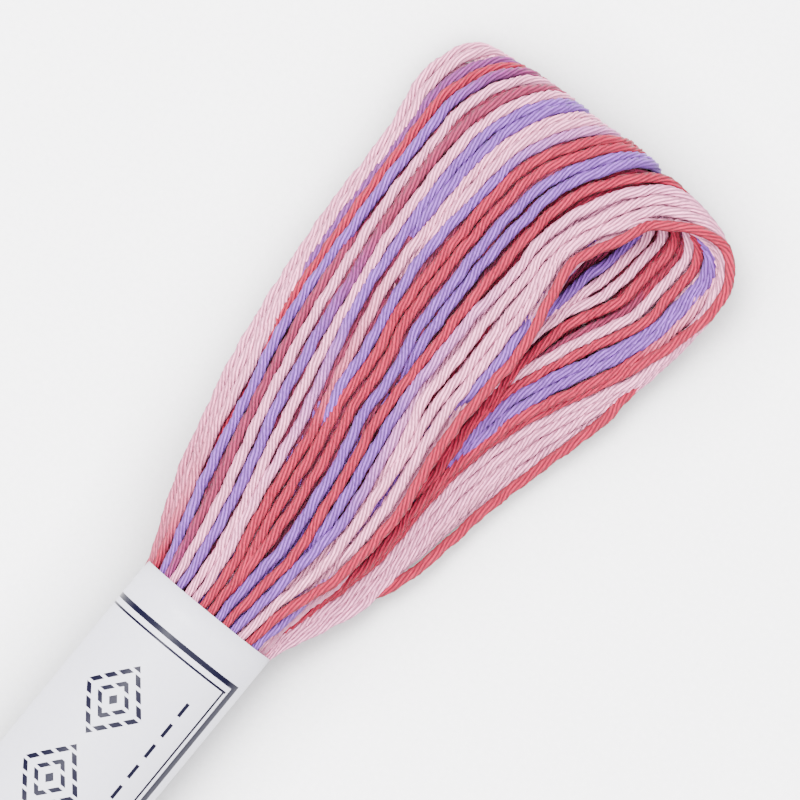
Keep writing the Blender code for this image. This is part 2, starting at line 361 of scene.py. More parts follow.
# The turns at the right of the open fan lie over in a wide arc. By their place in the list above:
# the points of the arc (right of the middle line, out, height), the under run's places at each
# station, and how high that run rides over the edge of the others where it gets free of the mouth
# and farther out.
WIDE_TURNS = {
    19: (
        (
            (4.2, 48.0, 6.3), (6.4, 49.8, 5.0), (8.6, 49.8, 4.0),
            (11.2, 48.9, 3.3), (13.4, 47.6, 3.0), (15.1, 45.8, 3.0),
        ),
        (5.6, 7.0, 8.9, 10.6, 11.4, 12.0, 12.9, 13.9, 14.85, 15.05, 15.6, 15.7),
        (-0.6, 0.2),
    ),
    20: (
        (
            (5.6, 48.0, 6.4), (7.6, 49.5, 5.5), (10.0, 49.7, 4.6),
            (12.2, 49.0, 3.9), (14.0, 47.4, 3.4),
        ),
        (5.6, 7.3, 8.9, 9.7, 10.45, 11.15, 12.15, 13.15, 14.3, 14.9, 15.4, 15.5),
        (-0.3, -0.5),
    ),
    22: (
        (
            (6.8, 48.0, 6.3), (9.0, 49.3, 5.5), (11.6, 49.4, 4.7),
            (13.6, 48.5, 4.4), (15.0, 46.4, 4.3),
        ),
        (5.4, 6.5, 7.8, 8.5, 8.55, 8.75, 9.5, 10.8, 12.7, 14.7, 15.5, 15.6),
        (0.5, 0.75),
    ),
    23: (
        (
            (7.8, 47.7, 6.5), (9.9, 48.8, 5.9), (12.0, 49.0, 5.4),
            (13.8, 48.1, 4.9), (15.3, 45.9, 4.6),
        ),
        (5.7, 7.0, 8.5, 9.15, 9.25, 9.5, 10.35, 11.55, 13.3, 14.95, 15.7, 15.8),
        (0.3, 0.4),
    ),
    24: (
        (
            (7.8, 46.4, 6.4), (9.8, 47.8, 5.9), (12.0, 48.6, 4.9),
            (14.0, 47.7, 4.6), (15.4, 45.5, 4.2),
        ),
        (5.95, 7.6, 9.2, 9.65, 9.95, 10.35, 11.3, 12.45, 13.9, 15.2, 15.8, 15.9),
        (0.1, 0.05),
    ),
    25: (
        (
            (7.4, 45.6, 7.0), (9.2, 47.3, 6.7), (11.6, 48.5, 6.4),
            (13.6, 48.6, 6.0), (15.2, 47.2, 5.6), (16.0, 45.0, 5.3),
        ),
        (5.3, 6.0, 7.05, 7.85, 7.9, 8.1, 8.75, 10.05, 11.9, 13.8, 15.25, 16.0),
        (0.9, 1.3),
    ),
    26: (
        ((6.0, 47.5, 4.8), (8.6, 48.2, 3.6), (11.2, 47.6, 2.8), (13.4, 46.2, 2.4)),
        (5.2, 6.8, 8.2, 9.2, 9.8, 10.3, 10.9, 11.8, 12.7, 13.6, 14.2, 14.6),
        (-0.8, -1.1),
    ),
    27: (
        ((6.2, 47.0, 4.4), (8.8, 47.6, 3.2), (11.2, 47.0, 2.4), (13.2, 45.6, 2.0)),
        (3.6, 4.4, 5.4, 6.4, 7.2, 7.9, 8.6, 9.5, 10.6, 11.9, 13.0, 13.8),
        (-0.8, -1.2),
    ),
}

# The inner turns whose under runs show through the eye of the open fan, from its crotch outwards:
# the colour at the turn, less than 0 where the colours run back, how far out the under run comes up
# into sight, or NEVER where it stays low, and its places at each station.
NEVER = 99
EYE_LANES = (
    (495, NEVER, 0.8, 1.1, 1.6, 2.1, 2.6, 3.2, 3.8, 4.3, 4.6, 5.0, 5.8, 6.7),
    (400, 0, 1.1, 1.5, 2.1, 2.6, 3.2, 3.8, 4.5, 5.0, 5.4, 5.9, 6.5, 7.5),
    (250, 0, 1.5, 2.0, 2.6, 3.3, 3.8, 4.5, 4.9, 5.2, 5.6, 6.3, 7.5, 8.1),
    (240, 0, 1.9, 2.5, 3.2, 3.9, 4.5, 5.0, 5.3, 5.5, 5.9, 6.8, 8.6, 9.1),
    (70, 0, 2.9, 3.6, 4.5, 5.3, 5.9, 6.4, 6.8, 6.8, 7.0, 7.8, 9.75, 10.2),
    (480, NEVER, 2.4, 3.0, 3.9, 4.7, 5.4, 6.1, 6.6, 7.0, 7.7, 9.0, 10.7, 11.1),
    (220, 0, 2.8, 3.5, 4.4, 5.2, 5.6, 5.7, 5.9, 6.4, 7.9, 9.6, 11.4, 11.7),
    (90, 0, 3.5, 4.3, 5.2, 6.0, 6.6, 7.1, 6.9, 7.3, 8.7, 10.5, 12.4, 12.65),
    (410, 22, 4.0, 4.8, 5.8, 6.6, 7.0, 7.3, 7.5, 8.0, 9.6, 11.6, 13.25, 13.7),
    (410, 22, 4.2, 5.0, 6.0, 6.8, 7.2, 7.6, 8.1, 8.9, 10.42, 12.35, 13.8, 14.2),
    (-167, 0, 4.4, 5.7, 6.9, 7.6, 7.6, 7.8, 8.5, 9.6, 11.5, 13.3, 14.5, 14.9),
)

# How much lower an under run in the eye lies where it is out of sight, the way of the colours that run
# back, and how far these turns reach past the last station.
EYE_DIP = 0.9
EYE_BACK = -1.5
EYE_REACH = 4.3

# Between the mouth and the far end the turns in the eye are heaped up by this, over this length.
EYE_HEAP = 1.6
HEAP_LENGTH = 12.0

# The middle turns fill the hank and show only in the gaps between the outer ones, and a painted shade
# darkens their whole colour.
# Their dye is a dull rose, but red and then pale pink under the right edge, like their neighbours'.
MIDDLE_COUNT = 30
MIDDLE_PAINTED_SHADE = 0.7
MIDDLE_DYE = (484.0, 520.0)
MIDDLE_WAY = 0.12
RED_FROM, RED_DYE = 0.7, 545.0
PALE_FROM, PALE_DYE = 0.82, 190.0

# Where they lie across the two runs, from the left, and how high: up over the middle of the top run
# and down at its sides. They reach less far than the outer turns, and the hidden inner ones less yet.
MIDDLE_TOP = (0.09, 0.83)
MIDDLE_LOW = (0.01, 0.91)
MIDDLE_UP, MIDDLE_DOWN = 0.25, -0.45
UP_FROM, UP_TO = 0.2, 0.64
MIDDLE_SHORT, INNER_SHORT = 0.9, 1.8

# The inner turns that never show, and the thread's length from the mouth to the far end.
INNER_HIDDEN = 10
TURN_AT = 50.0

# The space between the rings of a turn, close where it shows.
OUTER_RINGS, EYE_RINGS, HIDDEN_RINGS, MIDDLE_RINGS = 0.5, 0.6, 0.9, 1.0

# The strands of the top run that lie left of the under run sag on to the table: from how far past
# its edge, by how much for each millimetre, where that starts and the length that it grows over.
SAG_FROM = 0.8
SAG = 0.7
SAG_START, SAG_LENGTH = 2.0, 12.0

# The points round a far end, a circle in radians, and the length of the dyer's repeat.
TURN_POINTS = 7
CIRCLE = 6.28
REPEAT = 560.0
chance = random.Random(41)


def fan_at(fan, out):
    """A fan's section at a distance out of its mouth."""
    for before, after in zip(fan, fan[1:]):
        if out <= after[0]:
            part = (out - before[0]) / (after[0] - before[0])
            return [a + (b - a) * part for a, b in zip(before, after)]
    return list(fan[-1])


def run_height(section, run, across, layer):
    """Height of a thread's middle in a run, by its share across from the left edge to the right.

    The layer is 1 for the outer face of the ring of thread, 0 for its middle and -1 for its inner face.
    """
    out, left, right, low_left = section[:4]
    top, top_thick, floor_height, low_thick, lift, shape, flat = section[5:12]
    overhang = max(low_left + SAG_FROM - left - (right - left) * across, 0.0)
    sag = SAG * overhang * min(max(out - SAG_START, 0.0) / SAG_LENGTH, 1.0)
    across = min(max(across, 0.0), 1.0)
    full = math.sqrt(max(0.0, 1.0 - abs(2.0 * across - 1.0) ** shape))
    body = flat * full + 1.0 - flat
    if run == "top":
        inner_room = max(full * top_thick / 2.0 - THREAD / 2.0, 0.0)
        height = top - top_thick * (1.0 - body / 2.0) + layer * inner_room - sag
        return max(height, THREAD * (TOP_LEAST + LAYER_LEAST * layer))
    inner_room = max(full * low_thick / 2.0 - THREAD / 2.0, 0.0)
    height = floor_height + low_thick * (1.0 - body / 2.0) + lift * across**3 - layer * inner_room
    return max(height, THREAD * LOW_LEAST)


def wave(amount, length):
    """A smooth wander along a thread: a function of the distance, made of a long and a shorter wave."""
    first, second = chance.uniform(0.0, CIRCLE), chance.uniform(0.0, CIRCLE)
    return lambda out: amount * (
        0.7 * math.sin(out * CIRCLE / length + first) + 0.5 * math.sin(out * 10.4 / length + second)
    )


def fan_leg(fan, run, stations, layer, across=None, places=None, rise=0.0, seen=(0, NEVER), drift=None):
    """A thread's points out along one run, one at each station, by its share across or its places."""
    points = []
    shake = wave(0.16, 21.0)
    for index in range(stations):
        out = index * STATION
        section = fan_at(fan, out)
        left, right = (section[1:3]) if run == "top" else (section[3:5])
        fade = min(out / FREE_FROM, 1.0)
        if places:
            x = places[index]
            share = (x - left) / (right - left)
        else:
            share = across
            x = left + (right - left) * share
        if drift:
            x += drift(out) * fade
        z = run_height(section, run, share, layer) + (rise + shake(out)) * fade
        unseen = max((seen[0] - out) / DIP_LENGTH, (out - seen[1]) / DIP_LENGTH, 0.0)
        z -= HIDDEN_DIP * min(unseen, 1.0) if run == "top" else 0.0
        points.append(Vector((x, out, max(z, LOWEST))))
    return points


def round_turn(top, low, reach, top_lean, low_lean):
    """The points between a top run's end and an under run's end, round the far end of a fan.

    The curve has two handles, each a third longer than it reaches.
    """
    handle = reach * 4.0 / 3.0
    start, finish = top[-1], low[-1]
    first = start + Vector((top_lean * handle, handle, 0.0))
    second = finish + Vector((low_lean * handle, handle, 0.0))
    points = []
    for index in range(1, TURN_POINTS + 1):
        part = index / (TURN_POINTS + 1)
        rest = 1.0 - part
        points.append(
            start * rest**3
            + first * 3.0 * rest**2 * part
            + second * 3.0 * rest * part**2
            + finish * part**3
        )
    return points


def lean(points):
    """How far a run moves right for each millimetre out, at its end."""
    return (points[-1].x - points[-3].x) / (points[-1].y - points[-3].y)


def placed(points, end):
    """Points of a fan as points of the skein."""
    if end == "open":
        return [Vector((MIDDLE_LINE + p.x, OPEN_MOUTH + p.y, p.z)) for p in points]
    return [Vector((MIDDLE_LINE + p.x, PLAIN_MOUTH - p.y, p.z)) for p in points]


def closed_turn(open_top, open_turn, open_low, plain_low, plain_turn, plain_top, step, outer, wide=False):
    """One endless turn as a list of (point, size, distance between rings, twisted or not, bare side).

    The bare side is the side that no neighbour covers: outer is 1 for the outer turns, -1 for the inner
    and 0 for those that have none. The under run of a wide turn is bare at its right and on top.
    """
    up = Vector((0.0, 0.0, outer))
    down = Vector((0.35, 0.0, 0.94)) if wide else -up
    open_end = Vector((0.0, outer, 0.0)) if down.z * up.z < 0.0 else up
    plain_end = Vector((0.0, -outer, 0.0))

    def rows(points, end, spacing, sides):
        listed = []
        for point, spot, side in zip(points, placed(points, end), sides):
            station = point.y / STATION
            size = 1.0 if station >= 1.5 else IN_BAND + (NEAR_BAND - IN_BAND) * min(station, 1.0)
            listed.append((spot, size, spacing, 1.0, side))
        return listed

    def inside(mouth_point, end, spacing, twisted, side):
        spot = placed([Vector((mouth_point.x * DRAWN_IN, -BAND_REACH, mouth_point.z))], end)[0]
        return [(spot, IN_BAND, spacing, twisted, side)]

    def round_end(points, before, after, outward):
        sides = []
        for index in range(len(points)):
            part = (index + 1) / (len(points) + 1)
            sides.append(before * (1.0 - part) + after * part + outward * math.sin(math.pi * part))
        return sides

    near = step * 1.5
    plain = step * 1.15
    return (
        inside(open_top[0], "open", near, 1.0, up)
        + rows(open_top, "open", step, [up] * len(open_top))
        + rows(open_turn, "open", step, round_end(open_turn, up, down, open_end))
        + rows(open_low[::-1], "open", step, [down] * len(open_low))
        + inside(open_low[0], "open", COARSE_RINGS, 0.0, -up)
        + inside(plain_low[0], "plain", near, 1.0, -up)
        + rows(plain_low, "plain", plain, [-up] * len(plain_low))
        + rows(plain_turn, "plain", plain, round_end(plain_turn, -up, up, plain_end))
        + rows(plain_top[::-1], "plain", plain, [up] * len(plain_top))
        + inside(plain_top[0], "plain", COARSE_RINGS, 0.0, up)
    )


def plain_half(layer, across):
    """A thread's points at the plain fan: the under run, the turn and the top run."""
    over = fan_leg(PLAIN_FAN, "top", PLAIN_STATIONS, layer, across, drift=wave(0.35, 33.0))
    under = fan_leg(PLAIN_FAN, "low", PLAIN_STATIONS, layer, across, drift=wave(0.35, 37.0))
    bow = 1.0 - (2.0 * across - 1.0) ** 2
    reach = 4.4 + 1.6 * bow + 0.85 * (layer - 1.0) + chance.uniform(-0.25, 0.25)
    turn = round_turn(over, under, reach, lean(over), lean(under))
    return under, turn[::-1], over


# How far the outer turns of the open fan reach past their last station, by where they start there.
FAR_REACHES = ((-13.6, 5.1), (-10.7, 5.7), (-7.7, 5.9), (-4.5, 5.9), (-2.7, 6.2), (1.6, 6.1), (9.0, 5.4))


def far_reach(x):
    """How far a turn that starts at this place reaches."""
    for before, after in zip(FAR_REACHES, FAR_REACHES[1:]):
        if x <= after[0]:
            return before[1] + (after[1] - before[1]) * (x - before[0]) / (after[0] - before[0])
    return FAR_REACHES[-1][1]


outer_turns, middle_turns, inner_turns = [], [], []
last_lane = len(OUTER_LANES) - 1
for index, (lane, places) in enumerate(OUTER_LANES):
    colour, way, from_out, to_out, rise = lane
    top_places = [places[0] * DRAWN_IN, *places[1:OPEN_STATIONS]]
    rise += chance.uniform(-0.1, 0.1)
    over = fan_leg(OPEN_FAN, "top", OPEN_STATIONS, 1.0, None, top_places, rise, (from_out, to_out))
    wide = index in WIDE_TURNS
    if wide:
        arc, low_places, (near_rise, far_rise) = WIDE_TURNS[index]
        under = []
        for station, x in enumerate(low_places):
            out = station * STATION
            z = run_height(fan_at(OPEN_FAN, out), "low", 1.0, 0.0)
            z += near_rise * out / FREE_FROM if out <= FREE_FROM else far_rise
            under.append(Vector((x, out, max(z, LOWEST))))
        turn = [Vector(point) for point in arc]
    else:
        across = index / last_lane * 0.9
        under = fan_leg(OPEN_FAN, "low", OPEN_STATIONS, 1.0, across, drift=wave(0.3, 35.0))
        top_lean = (places[-1] - places[-3]) / (2.0 * STATION) * 1.2
        turn = round_turn(over, under, far_reach(over[-1].x), top_lean, lean(under) + 0.1)
    half = plain_half(1.0, index / last_lane)
    outer_turns.append((closed_turn(over, turn, under, *half, OUTER_RINGS, 1.0, wide), colour, way))

for index in range(MIDDLE_COUNT):
    across = MIDDLE_TOP[0] + MIDDLE_TOP[1] * index / (MIDDLE_COUNT - 1)
    rise = MIDDLE_UP if UP_FROM < across < UP_TO else MIDDLE_DOWN
    over = fan_leg(OPEN_FAN, "top", OPEN_STATIONS, 0.0, across, rise=rise, drift=wave(0.12, 31.0))
    low_across = MIDDLE_LOW[0] + MIDDLE_LOW[1] * index / (MIDDLE_COUNT - 1)
    under = fan_leg(OPEN_FAN, "low", OPEN_STATIONS, 0.0, low_across, drift=wave(0.12, 31.0))
    reach = far_reach(over[-1].x) - MIDDLE_SHORT
    turn = round_turn(over, under, reach, lean(over) + 0.3, lean(under) + 0.1)
    half = plain_half(0.0, across)
    colour = chance.uniform(*MIDDLE_DYE)
    if low_across > RED_FROM:
        colour = RED_DYE if low_across < PALE_FROM else PALE_DYE
    middle_turns.append((closed_turn(over, turn, under, *half, MIDDLE_RINGS, 0.0), colour, MIDDLE_WAY))

for index in range(INNER_HIDDEN + len(EYE_LANES)):
    across = 0.05 + 0.9 * index / (INNER_HIDDEN + len(EYE_LANES) - 1)
    over = fan_leg(OPEN_FAN, "top", OPEN_STATIONS, -1.0, across, drift=wave(0.25, 31.0))
    if index < INNER_HIDDEN:
        colour, way = chance.uniform(0.0, REPEAT), 1.0
        low_across = 0.03 + 0.5 * index / INNER_HIDDEN
        under = fan_leg(OPEN_FAN, "low", OPEN_STATIONS, -1.0, low_across, drift=wave(0.25, 31.0))
        reach, step = far_reach(over[-1].x) - INNER_SHORT, HIDDEN_RINGS
    else:
        turn_colour, seen_from, *low_places = EYE_LANES[index - INNER_HIDDEN]
        way = 1.0 if turn_colour > 0 else EYE_BACK
        colour = abs(turn_colour) - way * TURN_AT
        under = fan_leg(OPEN_FAN, "low", OPEN_STATIONS, -1.0, None, low_places)
        for point in under:
            far = min(max((LAST_STATION - point.y) / HEAP_LENGTH, 0.0), 1.0)
            point.z += EYE_HEAP * (min(point.y / HEAP_LENGTH, 1.0) * far)
            point.z -= EYE_DIP * min(max((seen_from - point.y) / DIP_LENGTH, 0.0), 1.0)
            point.z = max(point.z, LOWEST)
        reach, step = EYE_REACH, EYE_RINGS
    turn = round_turn(over, under, reach, lean(over) + 0.2, lean(under))
    half = plain_half(-1.0, across)
    inner_turns.append((closed_turn(over, turn, under, *half, step, -1.0), colour, way))


def rings_of(points):
    """Rings along a closed thread: place, size, twist in radians, distance along it and bare side.

    They lie on a smooth curve through the points, which wanders a little, and the thread is a little
    uneven in girth and in twist. Its twist is stretched so that it closes on a whole number of turns.
    """
    count = len(points)
    spans = [(points[(i + 1) % count][0] - points[i][0]).length for i in range(count)]
    slopes = []
    for i in range(count):
        before, after = spans[i - 1], spans[i]
        back = (points[i][0] - points[i - 1][0]) / before
        ahead = (points[(i + 1) % count][0] - points[i][0]) / after
        slopes.append((back * after + ahead * before) / (before + after))
    rings, along, wound = [], -BAND_REACH, 0.0
    aside, upward = wave(0.05, 3.7), wave(0.05, 4.3)
    plump, slack = wave(0.06, 2.3), wave(0.25, 5.1)
    for i in range(count):
        here, size, spacing, twisted, side = points[i]
        there, next_size, _, _, next_side = points[(i + 1) % count]
        span = spans[i]
        steps = max(1, round(span / spacing))
        for step in range(steps):
            t = step / steps
            spot = (
                here * (2 * t**3 - 3 * t**2 + 1)
                + slopes[i] * span * (t**3 - 2 * t**2 + t)
                + there * (3 * t**2 - 2 * t**3)
                + slopes[(i + 1) % count] * span * (t**3 - t**2)
            )
            spot += Vector((aside(along), 0.0, upward(along)))
            girth = (size + (next_size - size) * t) * (1.0 + plump(along))
            rings.append((spot, girth, wound + slack(along), along, side * (1.0 - t) + next_side * t))
            along += span / steps
            wound += twisted * span / steps
    full_turns = max(1, round(wound / TWIST_PITCH))
    rate = -2.0 * math.pi * full_turns / wound
    return [(spot, girth, turned * rate, far, side) for spot, girth, turned, far, side in rings]


# The thread's section: the crown of each ply and the groove beside it, none quite like the next.
PROFILE_POINTS = 2 * PLIES
ply_profile = bpy.data.curves.new("ply_profile", "CURVE")
ply_profile.dimensions = "2D"
ply_spline = ply_profile.splines.new("POLY")
ply_spline.points.add(PROFILE_POINTS - 1)
ply_spline.use_cyclic_u = True
ply_angles, ply_sizes = [], []
for index in range(PROFILE_POINTS):
    ply_angles.append(-2.0 * math.pi * index / PROFILE_POINTS)
    uneven = chance.uniform(0.95, 1.05)
    ply_sizes.append(THREAD / 2.0 * uneven * (1.0 if index % 2 == 0 else 1.0 - PLY_GROOVE))
    x, y = math.cos(ply_angles[-1]) * ply_sizes[-1], math.sin(ply_angles[-1]) * ply_sizes[-1]
    ply_spline.points[index].co = (x * MM, y * MM, 0.0, 1.0)
profile_object = bpy.data.objects.new("ply_profile", ply_profile)
bpy.context.collection.objects.link(profile_object)

# Dyed mercerised cotton: matt, with the faint bloom of fine fibres and a little lustre along each
# ply. The dyer's repeat is 560 mm long: red, pale pink, lavender, a short plum, dull rose and red again.
DYE = (
    (0, "#A20936"),
    (144, "#A20936"),
    (150, "#C55F7E"),
    (160, "#F195BA"),
    (330, "#E88FB8"),
    (338, "#BD71B1"),
    (346, "#7C43A8"),
    (476, "#7C43A8"),
    (481, "#793078"),
    (487, "#852046"),
    (515, "#8F234C"),
    (530, "#9F0F3A"),
)
cotton, tree = new_material("dyed_cotton_floss")
dye = node(tree, "ShaderNodeAttribute", {"attribute_name": "dye"}).outputs["Fac"]
tone_and_painted_shade = node(tree, "ShaderNodeAttribute", {"attribute_name": "tone_and_painted_shade"}).outputs["Fac"]
groove = node(tree, "ShaderNodeAttribute", {"attribute_name": "groove"}).outputs["Fac"]
fibre = node(tree, "ShaderNodeAttribute", {"attribute_name": "fibre"}).outputs["Vector"]
repeats = node(tree, "ShaderNodeMath", {"operation": "MULTIPLY"}, _0=dye, _1=1.0 / REPEAT)
share = node(tree, "ShaderNodeMath", {"operation": "FRACT"}, _0=repeats.outputs[0])
ramp = node(tree, "ShaderNodeValToRGB", Fac=share.outputs[0])
stops = ramp.color_ramp.elements
stops.remove(stops[1])
for index, (at, colour) in enumerate(DYE):
    stop = stops[0] if index == 0 else stops.new(at / REPEAT)
    stop.position = at / REPEAT
    stop.color = linear(colour)

# The single fibres lie along the thread, about 0.09 mm apart here, which is coarser than they are, so
# that they show. The dye also took unevenly, in patches about 4.5 mm long and a little differently in
# each ply. Each noise has its cells to the millimetre, across and along, and its least and most light.
FIBRES, FIBRE_LIGHT = (11.0, 11.0, 1.1), (0.64, 1.2)
PATCHES, PATCH_LIGHT = (0.6, 0.6, 0.22), (0.93, 1.05)
PLY_SPREAD, PLY_RUN, PLY_LIGHT = 3.0, 0.11, (0.84, 1.12)
NOISE_LOW, NOISE_HIGH = 0.3, 0.7
along_thread = node(tree, "ShaderNodeMapping", Vector=fibre, Scale=FIBRES).outputs[0]
fibres = node(tree, "ShaderNodeTexNoise", Vector=along_thread, Scale=1.0, Detail=3.0, Roughness=0.6)
in_patches = node(tree, "ShaderNodeMapping", Vector=fibre, Scale=PATCHES).outputs[0]
patches = node(tree, "ShaderNodeTexNoise", Vector=in_patches, Scale=1.0, Detail=2.0)
by_ply = node(tree, "ShaderNodeAttribute", {"attribute_name": "ply"}).outputs["Vector"]
plies = node(tree, "ShaderNodeTexNoise", Vector=by_ply, Scale=1.0, Detail=1.0)
lights = []
for noise, (least, most) in ((fibres, FIBRE_LIGHT), (patches, PATCH_LIGHT), (plies, PLY_LIGHT)):
    lights.append(
        node(
            tree,
            "ShaderNodeMapRange",
            Value=noise.outputs["Fac"],
            From_Min=NOISE_LOW,
            From_Max=NOISE_HIGH,
            To_Min=least,
            To_Max=most,
        ).outputs[0]
    )

# A painted shade darkens the dye in the grooves between the plies, and a painted light brightens their
# crowns.
CROWN_PAINTED_LIGHT, GROOVE_PAINTED_SHADE = 1.13, 0.22
groove_edge = node(tree, "ShaderNodeMath", {"operation": "POWER"}, _0=groove, _1=1.4).outputs[0]
painted_groove_shade = node(
    tree, "ShaderNodeMapRange", Value=groove_edge, To_Min=CROWN_PAINTED_LIGHT, To_Max=GROOVE_PAINTED_SHADE
).outputs[0]

# A painted shade darkens the dye on the sides of a thread that its neighbours cover, and makes it a little
# deeper there. The colour keeps a least light, more of it between threads, because thread lets some through.
COVERED_PAINTED_SHADE = 0.3
LEAST_LIGHT, LEAST_FALL = 0.54, 0.25
SHADE_DEEPENING = 0.08
bare = node(tree, "ShaderNodeAttribute", {"attribute_name": "bare"}).outputs["Fac"]
side_painted_shade = node(
    tree, "ShaderNodeMapRange", Value=bare, From_Min=-0.1, From_Max=0.85, To_Min=COVERED_PAINTED_SHADE, To_Max=1.0
).outputs[0]
# The light multiplies the noises, the painted groove shade, each turn's tone with the middle turns' painted
# shade, and the painted side shade.
light = lights[0]
for factor in (lights[1], painted_groove_shade, lights[2], tone_and_painted_shade, side_painted_shade):
    light = node(tree, "ShaderNodeMath", {"operation": "MULTIPLY"}, _0=light, _1=factor).outputs[0]
least = node(
    tree, "ShaderNodeMath", {"operation": "MULTIPLY_ADD"}, _0=side_painted_shade, _1=-LEAST_FALL, _2=LEAST_LIGHT
)
light = node(tree, "ShaderNodeMath", {"operation": "MAXIMUM"}, _0=light, _1=least.outputs[0])
shade_deepening = node(
    tree, "ShaderNodeMath", {"operation": "MULTIPLY_ADD"}, _0=side_painted_shade, _1=-SHADE_DEEPENING, _2=1.0 + SHADE_DEEPENING
)
# The dye made deeper where the painted shade falls.
dyed = node(tree, "ShaderNodeGamma", Color=ramp.outputs["Color"], Gamma=shade_deepening.outputs[0])
shaded = node(
    tree,
    "ShaderNodeVectorMath",
    {"operation": "SCALE"},
    _0=dyed.outputs["Color"],
    Scale=light.outputs[0],
)

# Each ply is round, which the few points of the mesh leave to this relief, and its fibres stand out.
PLY_RELIEF, FIBRE_RELIEF = 0.08, 0.08
groove_depth = node(tree, "ShaderNodeMath", {"operation": "POWER"}, _0=groove, _1=2.0)
ply_height = node(tree, "ShaderNodeMath", {"operation": "SUBTRACT"}, _0=1.0, _1=groove_depth.outputs[0])
ply_relief = node(
    tree,
    "ShaderNodeBump",
    Strength=1.0,
    Distance=PLY_RELIEF * MM,
    Height=ply_height.outputs[0],
)
relief = node(
    tree,
    "ShaderNodeBump",
    Strength=0.6,
    Distance=FIBRE_RELIEF * MM,
    Height=fibres.outputs["Fac"],
    Normal=ply_relief.outputs["Normal"],
)
shader = node(
    tree,
    "ShaderNodeBsdfPrincipled",
    Base_Color=shaded.outputs[0],
    Roughness=0.62,
    Specular_IOR_Level=0.2,
    Sheen_Weight=0.1,
    Sheen_Roughness=0.45,
    Normal=relief.outputs["Normal"],
)
node(tree, "ShaderNodeOutputMaterial", Surface=shader.outputs["BSDF"])


def thread_piece(name, turns, tone_and_painted_shade=1.0):
    """A group of endless turns as one mesh, with where each point lies in the thread and in the dye."""
    curve = bpy.data.curves.new(name + "_line", "CURVE")
    curve.dimensions = "3D"
    curve.bevel_mode = "OBJECT"
    curve.bevel_object = profile_object
    curve.twist_mode = "MINIMUM"
    dyes, tones_and_shades, grooves, fibres_at, plies_at, middles = [], [], [], [], [], []
    for points, colour, way in turns:
        rings = rings_of(points)
        spline = curve.splines.new("POLY")
        spline.points.add(len(rings) - 1)
        spline.use_cyclic_u = True
        # Each turn's tone differs a little at random, and the tone given to the piece is a painted shade.
        tone_and_shade_here = chance.uniform(0.95, 1.04) * tone_and_painted_shade
        shift = chance.uniform(0.0, 50.0)
        for spot, (place_at, size, twist, along, side) in zip(spline.points, rings):
            middles.append((place_at * MM, side))
            spot.co = (*(place_at * MM), 1.0)
            spot.tilt = twist
            spot.radius = size
            noise_at = along + shift
            for index, (angle, ply_size) in enumerate(zip(ply_angles, ply_sizes)):
                turned = angle + twist
                fibres_at.extend((math.cos(turned) * ply_size, math.sin(turned) * ply_size, noise_at))
                plies_at.extend((math.cos(angle) * PLY_SPREAD, math.sin(angle) * PLY_SPREAD))
                plies_at.append(noise_at * PLY_RUN)
                grooves.append(float(index % 2))
            # Ten repeats are added so that the dye is never less than 0.
            dyes.extend([colour + way * along + 10.0 * REPEAT] * PROFILE_POINTS)
            tones_and_shades.extend([tone_and_shade_here] * PROFILE_POINTS)
    line = bpy.data.objects.new(name + "_line", curve)
    bpy.context.collection.objects.link(line)
    graph = bpy.context.evaluated_depsgraph_get()
    mesh = bpy.data.meshes.new_from_object(line.evaluated_get(graph))
    mesh.name = name
    bares = []
    for index, (middle, side) in enumerate(middles):
        for vertex in mesh.vertices[index * PROFILE_POINTS : (index + 1) * PROFILE_POINTS]:
            away = vertex.co - middle
            bares.append(away.dot(side) / (away.length * side.length) if side.length > 0.01 else 1.0)
    for label, kind, values in (
        ("bare", "FLOAT", bares),
        ("dye", "FLOAT", dyes),
        ("tone_and_painted_shade", "FLOAT", tones_and_shades),
        ("groove", "FLOAT", grooves),
        ("fibre", "FLOAT_VECTOR", fibres_at),
        ("ply", "FLOAT_VECTOR", plies_at),
    ):
        attribute = mesh.attributes.new(label, kind, "POINT")
        attribute.data.foreach_set("vector" if kind == "FLOAT_VECTOR" else "value", values)
    mesh.shade_smooth()
    mesh.materials.clear()
    mesh.materials.append(cotton)
    bpy.data.objects.remove(line)
    bpy.data.curves.remove(curve)
    piece = bpy.data.objects.new(name, mesh)
    bpy.context.collection.objects.link(piece)
    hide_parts("hank")
    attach(piece, "root")


LEFT_TURNS = 14
thread_piece("floss_outer_left", outer_turns[:LEFT_TURNS])
thread_piece("floss_outer_right", outer_turns[LEFT_TURNS:])
# The middle turns' lower tone is a painted shade.
thread_piece("floss_middle", middle_turns, MIDDLE_PAINTED_SHADE)
thread_piece("floss_inner", inner_turns)
bpy.data.objects.remove(profile_object)

# ---------------------------------------------------------------------------------------------
# The paper band
# A strip of glossy coated paper, 60 mm long, rolled round the thread and glued where its ends
# overlap underneath. It is printed in navy with a double-ruled frame and small stitched diamonds.
PAPER = 0.12
BAND_HALF_WIDTH = (band_high.x - band_low.x) / 2.0 / MM
BAND_TOP = band_high.z / MM
BAND_LENGTH = OPEN_MOUTH - PLAIN_MOUTH
BAND_SEGMENTS = 30

# The strip starts under the band and goes more than once round, in degrees from its crown. Its first
# end is tucked in under its last. Its oval would reach a little under the table, so it is flat there.
ROLL_FROM, ROLL_BY, ROLL_STEPS = -202.0, 404.0, 132
TUCK, TUCK_FROM, TUCK_OVER = PAPER * 1.15, -140.0, 18.0
BAND_SINK = 0.3

